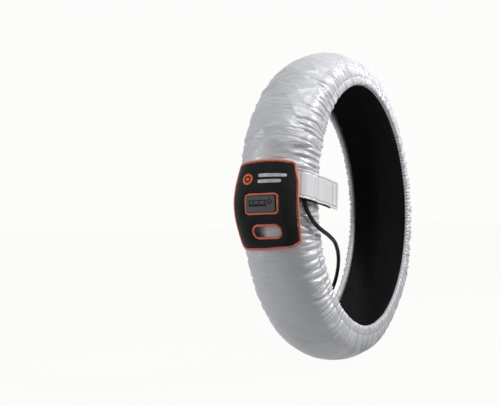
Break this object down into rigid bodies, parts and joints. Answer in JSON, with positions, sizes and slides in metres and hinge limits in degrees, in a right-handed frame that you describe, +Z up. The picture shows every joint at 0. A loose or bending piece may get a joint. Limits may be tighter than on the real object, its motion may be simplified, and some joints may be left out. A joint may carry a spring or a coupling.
{
  "type": "motorcycle tire warmer",
  "caption": "Ring-shaped heated cloth cover for a motorcycle tire, with gathered hems, padded control panel and mains lead.",
  "frame": {"origin": "centre of the ring, where the axle of the wheel that wears it would be", "axes": "+Y along the axle away from the side the strap's free end is on, +Z up, panel and closure on the -X side"},
  "size_m": [0.6394, 0.2091, 0.62],
  "materials": {
    "cover_cloth": "silver coated satin cloth",
    "insulation": "needled felt",
    "heating_cloth": "woven heat-resistant cloth",
    "heating_wire": "silicone-sheathed heating wire",
    "lining_cloth": "black aramid-type lining",
    "elastic": "braided elastic",
    "black_tape": "hook and loop tape",
    "panel_cloth": "black padded cloth",
    "orange_piping": "orange bound edge",
    "grey_plastic": "moulded grey plastic",
    "dark_plastic": "dark smooth plastic",
    "board": "circuit board",
    "cable_rubber": "black rubber sheath",
    "plug_rubber": "moulded black rubber",
    "plug_metal": "plated pin",
    "screw_steel": "plated screw"
  },
  "bodies": {
    "root": {"outer_cover": "cover_cloth", "cover_side_near": "cover_cloth", "cover_side_far": "cover_cloth", "insulation_pad": "insulation", "heat_cutout": "dark_plastic", "heating_wire": "heating_wire", "heating_band": "heating_cloth", "inner_lining": "lining_cloth", "hem_elastic_near": "elastic", "hem_elastic_far": "elastic", "closure_strap": "cover_cloth", "hook_tape": "black_tape", "loop_tape": "black_tape", "cable_boot": "cable_rubber", "control_panel": "panel_cloth", "panel_piping": "orange_piping", "window_piping": "orange_piping", "hand_hole_piping": "orange_piping", "controller_pocket": "panel_cloth", "controller_front_shell": "grey_plastic", "controller_back_shell": "grey_plastic", "circuit_board": "board", "indicator_lens": "dark_plastic", "wire_grommet": "cable_rubber", "power_cable": "cable_rubber", "cable_coil": "cable_rubber", "coil_tie": "black_tape", "power_cable_tail": "cable_rubber", "plug_body": "plug_rubber", "plug_pin_1": "plug_metal", "plug_pin_2": "plug_metal", "indicator_lamp_1": "dark_plastic", "indicator_lamp_2": "dark_plastic", "indicator_lamp_3": "dark_plastic", "shell_screw_1": "screw_steel", "shell_screw_2": "screw_steel", "shell_screw_3": "screw_steel", "shell_screw_4": "screw_steel"},
    "button": {"push_button": "grey_plastic"}
  },
  "joints": [
    {"name": "button_press", "type": "slide", "parent": "root", "child": "button", "axis": [1, 0, 0], "range_m": [0, 0.0008], "stiffness_N_per_m": 400, "springref_m": -0.0008}
  ]
}
